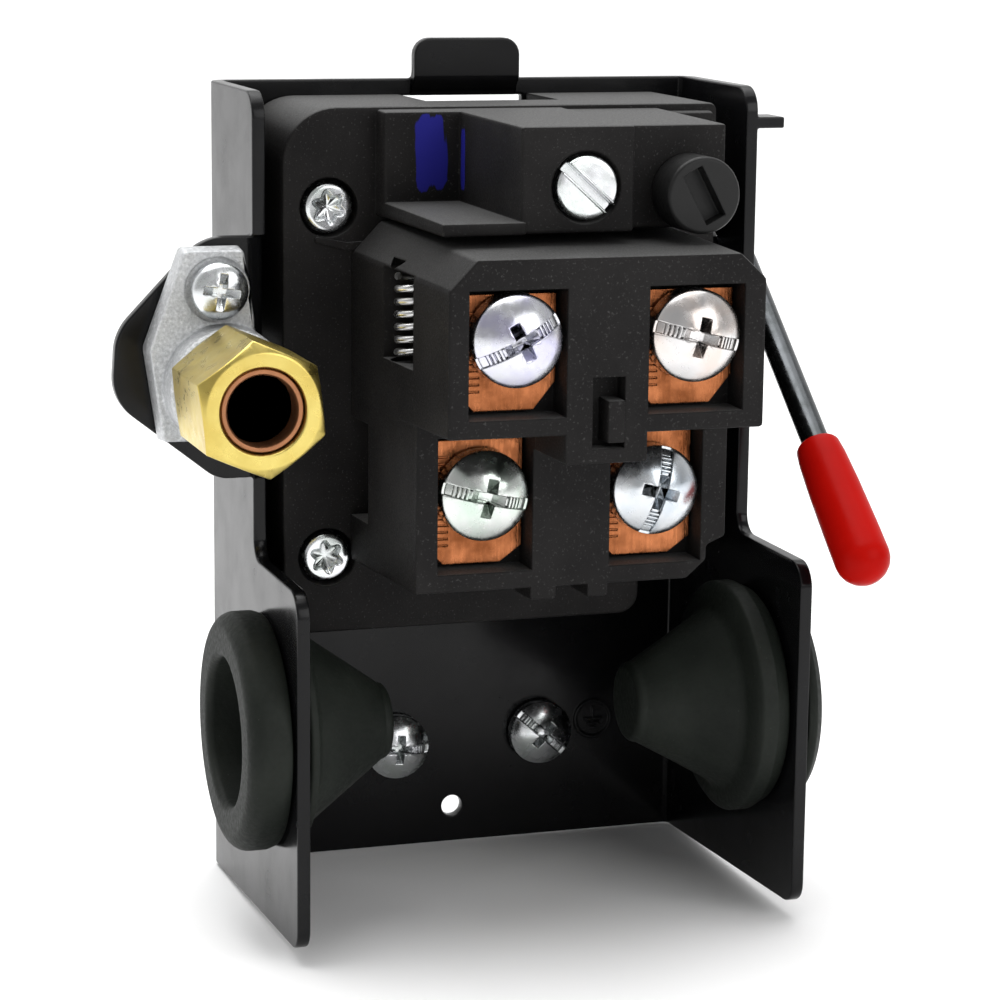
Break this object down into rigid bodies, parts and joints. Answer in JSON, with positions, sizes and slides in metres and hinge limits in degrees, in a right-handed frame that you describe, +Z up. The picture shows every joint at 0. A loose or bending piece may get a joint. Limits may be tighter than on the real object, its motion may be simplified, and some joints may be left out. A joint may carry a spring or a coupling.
{
  "type": "compressor pressure switch",
  "caption": "Diaphragm pressure switch with its cover off: screw terminals in a moulded block on a bent steel frame, unloader valve, manual lever and rubber conduit grommets.",
  "frame": {"origin": "centre of the pressure port's flat face, at the back", "axes": "+Z up along the height of the back plate, +X to the right seen from the terminals, +Y out of the port at the back"},
  "size_m": [0.0817, 0.0748, 0.0989],
  "materials": {
    "black_steel": "gloss",
    "phenolic": "matt, moulded grain",
    "black_plastic": "satin",
    "copper": "rolled copper alloy",
    "brass": "machined",
    "bronze": "dull bronze",
    "plated_steel": "bright zinc plate",
    "die_cast": "as-cast zinc",
    "rubber": "matt",
    "red_vinyl": "gloss dip",
    "spring_steel": "drawn wire"
  },
  "bodies": {
    "switch_body": {"frame": "black_steel", "base_housing": "phenolic", "contact_block": "phenolic", "terminal_plate_motor_left": "copper", "terminal_plate_motor_right": "copper", "terminal_plate_line_left": "copper", "terminal_plate_line_right": "copper", "body_screw_upper_left": "plated_steel", "body_screw_upper_right": "plated_steel", "body_screw_lower_left": "plated_steel", "body_screw_lower_right": "plated_steel", "range_spring": "spring_steel", "diaphragm_flange": "die_cast", "diaphragm": "rubber", "rocker_pin": "spring_steel", "contact_spring_left": "spring_steel", "contact_spring_right": "spring_steel", "trip_spring": "spring_steel", "unloader_body": "die_cast", "unloader_sleeve": "bronze", "unloader_spring": "spring_steel", "unloader_screw": "plated_steel", "grommet_left": "rubber", "grommet_right": "rubber"},
    "rocker_body": {"rocker": "plated_steel"},
    "plunger_body": {"plunger": "die_cast"},
    "carrier_body": {"contact_carrier": "phenolic", "contact_bridge_left": "copper", "contact_bridge_right": "copper"},
    "unloader_pin_body": {"unloader_pin": "plated_steel"},
    "lever_body": {"lever_rod": "plated_steel", "lever_cap": "red_vinyl", "lever_cam": "black_plastic"},
    "range_screw_body": {"range_screw": "plated_steel"},
    "range_nut_body": {"range_nut": "plated_steel"},
    "knob_body": {"differential_knob": "black_plastic"},
    "motor_left_screw": {"terminal_screw_motor_left": "plated_steel"},
    "motor_right_screw": {"terminal_screw_motor_right": "plated_steel"},
    "line_left_screw": {"terminal_screw_line_left": "plated_steel"},
    "line_right_screw": {"terminal_screw_line_right": "plated_steel"},
    "ground_screw_1_body": {"ground_screw_1": "plated_steel"},
    "ground_screw_2_body": {"ground_screw_2": "plated_steel"},
    "tube_nut": {"unloader_nut": "brass"}
  },
  "joints": [
    {"name": "rocker_hinge", "type": "hinge", "parent": "switch_body", "child": "rocker_body", "pos_m": [0, -0.029, -0.0153], "axis": [1, 0, 0], "range_deg": [0, 6], "stiffness_Nm_per_rad": 0.5, "deforming": ["range_spring"]},
    {"name": "plunger_slide", "type": "slide", "parent": "switch_body", "child": "plunger_body", "axis": [0, -1, 0], "range_m": [0, 0.0016]},
    {"name": "carrier_slide", "type": "slide", "parent": "switch_body", "child": "carrier_body", "axis": [0, -1, 0], "range_m": [0, 0.0017], "deforming": ["contact_spring_left", "contact_spring_right"]},
    {"name": "unloader_pin_slide", "type": "slide", "parent": "switch_body", "child": "unloader_pin_body", "axis": [0, -1, 0], "range_m": [0, 0.0018], "deforming": ["unloader_spring"]},
    {"name": "lever_hinge", "type": "hinge", "parent": "switch_body", "child": "lever_body", "pos_m": [0.032, -0.031, 0.0129], "axis": [-1, 0, 0], "range_deg": [0, 90]},
    {"name": "range_screw_turn", "type": "hinge", "parent": "switch_body", "child": "range_screw_body", "pos_m": [0.0005, -0.0633, 0.024], "axis": [0, -1, 0], "range_deg": [0, 1080]},
    {"name": "range_nut_slide", "type": "slide", "parent": "switch_body", "child": "range_nut_body", "axis": [0, 1, 0], "range_m": [0, 0.0024]},
    {"name": "differential_knob_turn", "type": "hinge", "parent": "switch_body", "child": "knob_body", "pos_m": [0.013, -0.0618, 0.0231], "axis": [0, 1, 0], "range_deg": [0, 330]},
    {"name": "motor_left_screw_turn", "type": "hinge", "parent": "switch_body", "child": "motor_left_screw", "pos_m": [-0.0097, -0.0705, 0.0091], "axis": [0, -1, 0], "continuous": true},
    {"name": "motor_right_screw_turn", "type": "hinge", "parent": "switch_body", "child": "motor_right_screw", "pos_m": [0.0101, -0.0705, 0.009], "axis": [0, -1, 0], "continuous": true},
    {"name": "line_left_screw_turn", "type": "hinge", "parent": "switch_body", "child": "line_left_screw", "pos_m": [-0.0097, -0.06, -0.0092], "axis": [0, -1, 0], "continuous": true},
    {"name": "line_right_screw_turn", "type": "hinge", "parent": "switch_body", "child": "line_right_screw", "pos_m": [0.0099, -0.06, -0.0095], "axis": [0, -1, 0], "continuous": true},
    {"name": "ground_screw_1_turn", "type": "hinge", "parent": "switch_body", "child": "ground_screw_1_body", "pos_m": [-0.0075, -0.0208, -0.0482], "axis": [0, -1, 0], "continuous": true},
    {"name": "ground_screw_2_turn", "type": "hinge", "parent": "switch_body", "child": "ground_screw_2_body", "pos_m": [0.011, -0.0208, -0.0477], "axis": [0, -1, 0], "continuous": true},
    {"name": "tube_nut_turn", "type": "hinge", "parent": "switch_body", "child": "tube_nut", "pos_m": [-0.0341, -0.0513, 0.001], "axis": [0, -1, 0], "continuous": true}
  ],
  "couplings": [
    {"joint": "plunger_slide", "follows": "rocker_hinge", "m_per_rad": 0.0145},
    {"joint": "carrier_slide", "follows": "rocker_hinge", "m_per_rad": 0.015},
    {"joint": "unloader_pin_slide", "follows": "rocker_hinge", "m_per_rad": 0.0163},
    {"joint": "range_screw_turn", "follows": "range_nut_slide", "rad_per_m": 7850}
  ]
}
